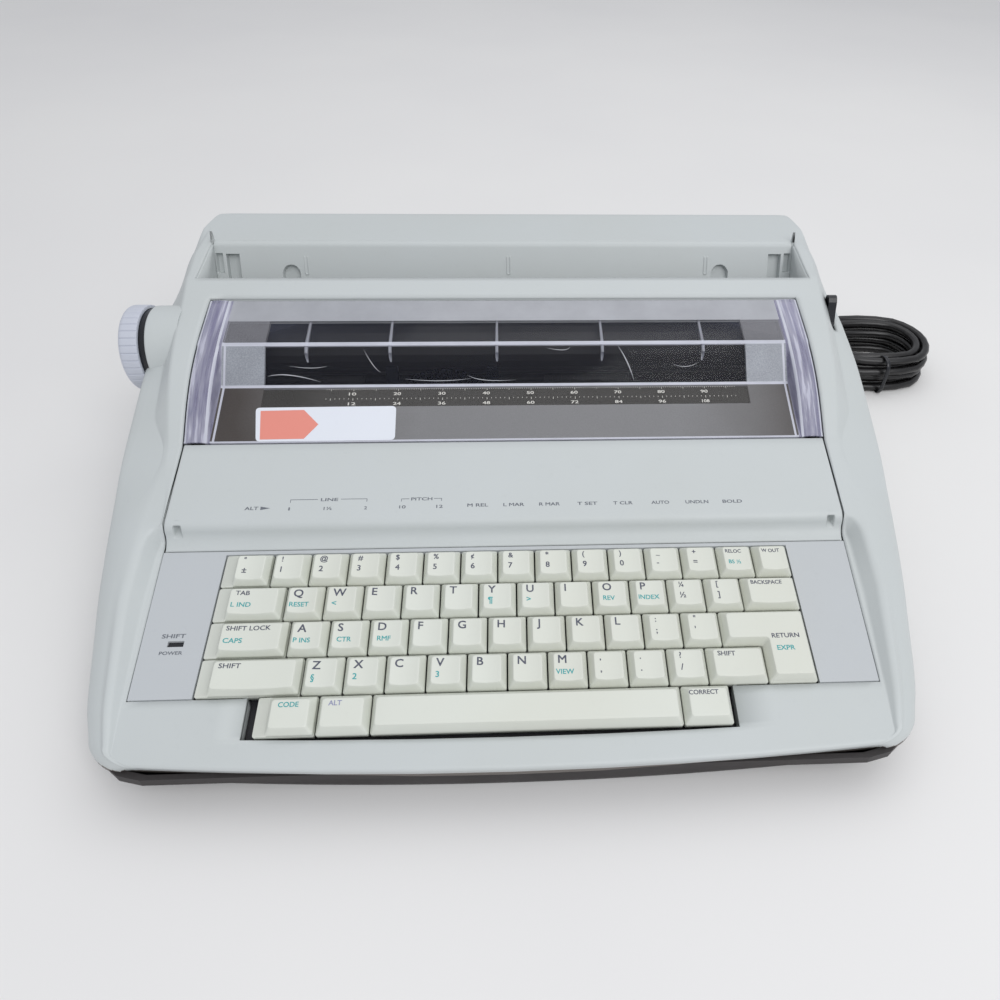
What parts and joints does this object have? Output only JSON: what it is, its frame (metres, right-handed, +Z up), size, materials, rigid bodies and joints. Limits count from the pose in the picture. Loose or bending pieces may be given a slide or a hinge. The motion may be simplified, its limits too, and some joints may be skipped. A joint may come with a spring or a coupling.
{
  "type": "electronic typewriter",
  "caption": "Portable daisy-wheel typewriter: sloping case, sunken keyboard, hinged lid with a clear cover, platen with a side knob, print carriage, paper entry at the back and a bundled cord",
  "frame": {"origin": "middle of the machine's box in plan, on the ground under the feet; the cord, its hank and plug are left out", "axes": "+X right seen from the front, +Y towards the back, +Z up"},
  "size_m": [0.558, 0.4444, 0.121],
  "materials": {
    "base_grey": "fine texture",
    "case_grey": "fine texture",
    "panel_grey": "fine texture",
    "dark_plastic": "plain",
    "lamp_lens": "smooth",
    "foot_rubber": "matt",
    "steel": "ground bar",
    "guide_grey": "smooth",
    "black_plastic": "matt",
    "cord_black": "satin",
    "clear_cover": "clear, frosted in part",
    "platen_rubber": "ground",
    "knob_grey": "satin",
    "black_plastic2": "satin",
    "key_cream": "fine texture"
  },
  "bodies": {
    "case": {"base_case": "base_grey", "upper_case": "case_grey", "keyboard_panel": "panel_grey", "key_switch_plate": "dark_plastic", "status_lamp": "lamp_lens", "foot_strip_front": "foot_rubber", "foot_strip_rear": "foot_rubber", "mechanism_frame": "steel", "carriage_rail": "steel", "paper_guide": "guide_grey", "cord_strain_relief": "black_plastic", "power_cord": "cord_black", "cord_hank": "cord_black", "power_plug": "cord_black"},
    "lid": {"top_lid": "case_grey", "lid_window": "clear_cover"},
    "platen_assembly": {"platen": "platen_rubber", "platen_knob": "knob_grey"},
    "rollers": {"feed_rollers": "foot_rubber"},
    "lever": {"paper_release_lever": "black_plastic2"},
    "carriage": {"print_carriage": "dark_plastic", "ribbon_cassette": "black_plastic2"},
    "wheel": {"daisy_wheel": "black_plastic2"},
    "key_q_body": {"key_q": "key_cream"},
    "key_w_body": {"key_w": "key_cream"},
    "key_e_body": {"key_e": "key_cream"},
    "key_r_body": {"key_r": "key_cream"},
    "key_t_body": {"key_t": "key_cream"},
    "key_y_body": {"key_y": "key_cream"},
    "key_u_body": {"key_u": "key_cream"},
    "key_i_body": {"key_i": "key_cream"},
    "key_o_body": {"key_o": "key_cream"},
    "key_p_body": {"key_p": "key_cream"},
    "key_a_body": {"key_a": "key_cream"},
    "key_s_body": {"key_s": "key_cream"},
    "key_d_body": {"key_d": "key_cream"},
    "key_f_body": {"key_f": "key_cream"},
    "key_g_body": {"key_g": "key_cream"},
    "key_h_body": {"key_h": "key_cream"},
    "key_j_body": {"key_j": "key_cream"},
    "key_k_body": {"key_k": "key_cream"},
    "key_l_body": {"key_l": "key_cream"},
    "key_z_body": {"key_z": "key_cream"},
    "key_x_body": {"key_x": "key_cream"},
    "key_c_body": {"key_c": "key_cream"},
    "key_v_body": {"key_v": "key_cream"},
    "key_b_body": {"key_b": "key_cream"},
    "key_n_body": {"key_n": "key_cream"},
    "key_m_body": {"key_m": "key_cream"},
    "key_tab_body": {"key_tab": "key_cream"},
    "key_backspace_body": {"key_backspace": "key_cream"},
    "key_shift_lock_body": {"key_shift_lock": "key_cream"},
    "key_shift_left_body": {"key_shift_left": "key_cream"},
    "key_shift_right_body": {"key_shift_right": "key_cream"},
    "key_code_body": {"key_code": "key_cream"},
    "key_alt_body": {"key_alt": "key_cream"},
    "key_space_body": {"key_space": "key_cream"},
    "key_correct_body": {"key_correct": "key_cream"},
    "key_return_body": {"key_return": "key_cream"},
    "symbol_bank": {"symbol_keys": "key_cream"}
  },
  "joints": [
    {"name": "lid_hinge", "type": "hinge", "parent": "case", "child": "lid", "pos_m": [0.00575, 0.063, 0.107], "axis": [-1, 0, 0], "range_deg": [0, 42]},
    {"name": "platen_spin", "type": "hinge", "parent": "case", "child": "platen_assembly", "pos_m": [0.00575, 0.0635, 0.086], "axis": [1, 0, 0], "continuous": true},
    {"name": "roller_spin", "type": "hinge", "parent": "case", "child": "rollers", "pos_m": [0.00575, 0.0635, 0.0617], "axis": [1, 0, 0], "continuous": true},
    {"name": "lever_tilt", "type": "hinge", "parent": "case", "child": "lever", "pos_m": [0.20955, 0.0655, 0.078], "axis": [1, 0, 0], "range_deg": [0, 15]},
    {"name": "carriage_travel", "type": "slide", "parent": "case", "child": "carriage", "axis": [1, 0, 0], "range_m": [-0.07, 0.15]},
    {"name": "wheel_spin", "type": "hinge", "parent": "carriage", "child": "wheel", "pos_m": [-0.03425, 0.0424, 0.05], "axis": [0, 1, 0], "continuous": true},
    {"name": "key_q_press", "type": "slide", "parent": "case", "child": "key_q_body", "axis": [0, 0.1867, -0.9824], "range_m": [0, 0.0035], "stiffness_N_per_m": 150, "springref_m": -0.004},
    {"name": "key_w_press", "type": "slide", "parent": "case", "child": "key_w_body", "axis": [0, 0.1867, -0.9824], "range_m": [0, 0.0035], "stiffness_N_per_m": 150, "springref_m": -0.004},
    {"name": "key_e_press", "type": "slide", "parent": "case", "child": "key_e_body", "axis": [0, 0.1867, -0.9824], "range_m": [0, 0.0035], "stiffness_N_per_m": 150, "springref_m": -0.004},
    {"name": "key_r_press", "type": "slide", "parent": "case", "child": "key_r_body", "axis": [0, 0.1867, -0.9824], "range_m": [0, 0.0035], "stiffness_N_per_m": 150, "springref_m": -0.004},
    {"name": "key_t_press", "type": "slide", "parent": "case", "child": "key_t_body", "axis": [0, 0.1867, -0.9824], "range_m": [0, 0.0035], "stiffness_N_per_m": 150, "springref_m": -0.004},
    {"name": "key_y_press", "type": "slide", "parent": "case", "child": "key_y_body", "axis": [0, 0.1867, -0.9824], "range_m": [0, 0.0035], "stiffness_N_per_m": 150, "springref_m": -0.004},
    {"name": "key_u_press", "type": "slide", "parent": "case", "child": "key_u_body", "axis": [0, 0.1867, -0.9824], "range_m": [0, 0.0035], "stiffness_N_per_m": 150, "springref_m": -0.004},
    {"name": "key_i_press", "type": "slide", "parent": "case", "child": "key_i_body", "axis": [0, 0.1867, -0.9824], "range_m": [0, 0.0035], "stiffness_N_per_m": 150, "springref_m": -0.004},
    {"name": "key_o_press", "type": "slide", "parent": "case", "child": "key_o_body", "axis": [0, 0.1867, -0.9824], "range_m": [0, 0.0035], "stiffness_N_per_m": 150, "springref_m": -0.004},
    {"name": "key_p_press", "type": "slide", "parent": "case", "child": "key_p_body", "axis": [0, 0.1867, -0.9824], "range_m": [0, 0.0035], "stiffness_N_per_m": 150, "springref_m": -0.004},
    {"name": "key_a_press", "type": "slide", "parent": "case", "child": "key_a_body", "axis": [0, 0.1867, -0.9824], "range_m": [0, 0.0035], "stiffness_N_per_m": 150, "springref_m": -0.004},
    {"name": "key_s_press", "type": "slide", "parent": "case", "child": "key_s_body", "axis": [0, 0.1867, -0.9824], "range_m": [0, 0.0035], "stiffness_N_per_m": 150, "springref_m": -0.004},
    {"name": "key_d_press", "type": "slide", "parent": "case", "child": "key_d_body", "axis": [0, 0.1867, -0.9824], "range_m": [0, 0.0035], "stiffness_N_per_m": 150, "springref_m": -0.004},
    {"name": "key_f_press", "type": "slide", "parent": "case", "child": "key_f_body", "axis": [0, 0.1867, -0.9824], "range_m": [0, 0.0035], "stiffness_N_per_m": 150, "springref_m": -0.004},
    {"name": "key_g_press", "type": "slide", "parent": "case", "child": "key_g_body", "axis": [0, 0.1867, -0.9824], "range_m": [0, 0.0035], "stiffness_N_per_m": 150, "springref_m": -0.004},
    {"name": "key_h_press", "type": "slide", "parent": "case", "child": "key_h_body", "axis": [0, 0.1867, -0.9824], "range_m": [0, 0.0035], "stiffness_N_per_m": 150, "springref_m": -0.004},
    {"name": "key_j_press", "type": "slide", "parent": "case", "child": "key_j_body", "axis": [0, 0.1867, -0.9824], "range_m": [0, 0.0035], "stiffness_N_per_m": 150, "springref_m": -0.004},
    {"name": "key_k_press", "type": "slide", "parent": "case", "child": "key_k_body", "axis": [0, 0.1867, -0.9824], "range_m": [0, 0.0035], "stiffness_N_per_m": 150, "springref_m": -0.004},
    {"name": "key_l_press", "type": "slide", "parent": "case", "child": "key_l_body", "axis": [0, 0.1867, -0.9824], "range_m": [0, 0.0035], "stiffness_N_per_m": 150, "springref_m": -0.004},
    {"name": "key_z_press", "type": "slide", "parent": "case", "child": "key_z_body", "axis": [0, 0.1867, -0.9824], "range_m": [0, 0.0035], "stiffness_N_per_m": 150, "springref_m": -0.004},
    {"name": "key_x_press", "type": "slide", "parent": "case", "child": "key_x_body", "axis": [0, 0.1867, -0.9824], "range_m": [0, 0.0035], "stiffness_N_per_m": 150, "springref_m": -0.004},
    {"name": "key_c_press", "type": "slide", "parent": "case", "child": "key_c_body", "axis": [0, 0.1867, -0.9824], "range_m": [0, 0.0035], "stiffness_N_per_m": 150, "springref_m": -0.004},
    {"name": "key_v_press", "type": "slide", "parent": "case", "child": "key_v_body", "axis": [0, 0.1867, -0.9824], "range_m": [0, 0.0035], "stiffness_N_per_m": 150, "springref_m": -0.004},
    {"name": "key_b_press", "type": "slide", "parent": "case", "child": "key_b_body", "axis": [0, 0.1867, -0.9824], "range_m": [0, 0.0035], "stiffness_N_per_m": 150, "springref_m": -0.004},
    {"name": "key_n_press", "type": "slide", "parent": "case", "child": "key_n_body", "axis": [0, 0.1867, -0.9824], "range_m": [0, 0.0035], "stiffness_N_per_m": 150, "springref_m": -0.004},
    {"name": "key_m_press", "type": "slide", "parent": "case", "child": "key_m_body", "axis": [0, 0.1867, -0.9824], "range_m": [0, 0.0035], "stiffness_N_per_m": 150, "springref_m": -0.004},
    {"name": "key_tab_press", "type": "slide", "parent": "case", "child": "key_tab_body", "axis": [0, 0.1867, -0.9824], "range_m": [0, 0.0035], "stiffness_N_per_m": 150, "springref_m": -0.004},
    {"name": "key_backspace_press", "type": "slide", "parent": "case", "child": "key_backspace_body", "axis": [0, 0.1867, -0.9824], "range_m": [0, 0.0035], "stiffness_N_per_m": 150, "springref_m": -0.004},
    {"name": "key_shift_lock_press", "type": "slide", "parent": "case", "child": "key_shift_lock_body", "axis": [0, 0.1867, -0.9824], "range_m": [0, 0.0035], "stiffness_N_per_m": 150, "springref_m": -0.004},
    {"name": "key_shift_left_press", "type": "slide", "parent": "case", "child": "key_shift_left_body", "axis": [0, 0.1867, -0.9824], "range_m": [0, 0.0035], "stiffness_N_per_m": 150, "springref_m": -0.004},
    {"name": "key_shift_right_press", "type": "slide", "parent": "case", "child": "key_shift_right_body", "axis": [0, 0.1867, -0.9824], "range_m": [0, 0.0035], "stiffness_N_per_m": 150, "springref_m": -0.004},
    {"name": "key_code_press", "type": "slide", "parent": "case", "child": "key_code_body", "axis": [0, 0.1867, -0.9824], "range_m": [0, 0.0035], "stiffness_N_per_m": 150, "springref_m": -0.004},
    {"name": "key_alt_press", "type": "slide", "parent": "case", "child": "key_alt_body", "axis": [0, 0.1867, -0.9824], "range_m": [0, 0.0035], "stiffness_N_per_m": 150, "springref_m": -0.004},
    {"name": "key_space_press", "type": "slide", "parent": "case", "child": "key_space_body", "axis": [0, 0.1867, -0.9824], "range_m": [0, 0.0035], "stiffness_N_per_m": 150, "springref_m": -0.004},
    {"name": "key_correct_press", "type": "slide", "parent": "case", "child": "key_correct_body", "axis": [0, 0.1867, -0.9824], "range_m": [0, 0.0035], "stiffness_N_per_m": 150, "springref_m": -0.004},
    {"name": "key_return_press", "type": "slide", "parent": "case", "child": "key_return_body", "axis": [0, 0.1867, -0.9824], "range_m": [0, 0.0035], "stiffness_N_per_m": 150, "springref_m": -0.004},
    {"name": "symbol_keys_press", "type": "slide", "parent": "case", "child": "symbol_bank", "axis": [0, 0.1867, -0.9824], "range_m": [0, 0.0035], "stiffness_N_per_m": 600, "springref_m": -0.004}
  ],
  "couplings": [
    {"joint": "roller_spin", "follows": "platen_spin", "ratio": -2.4286}
  ]
}
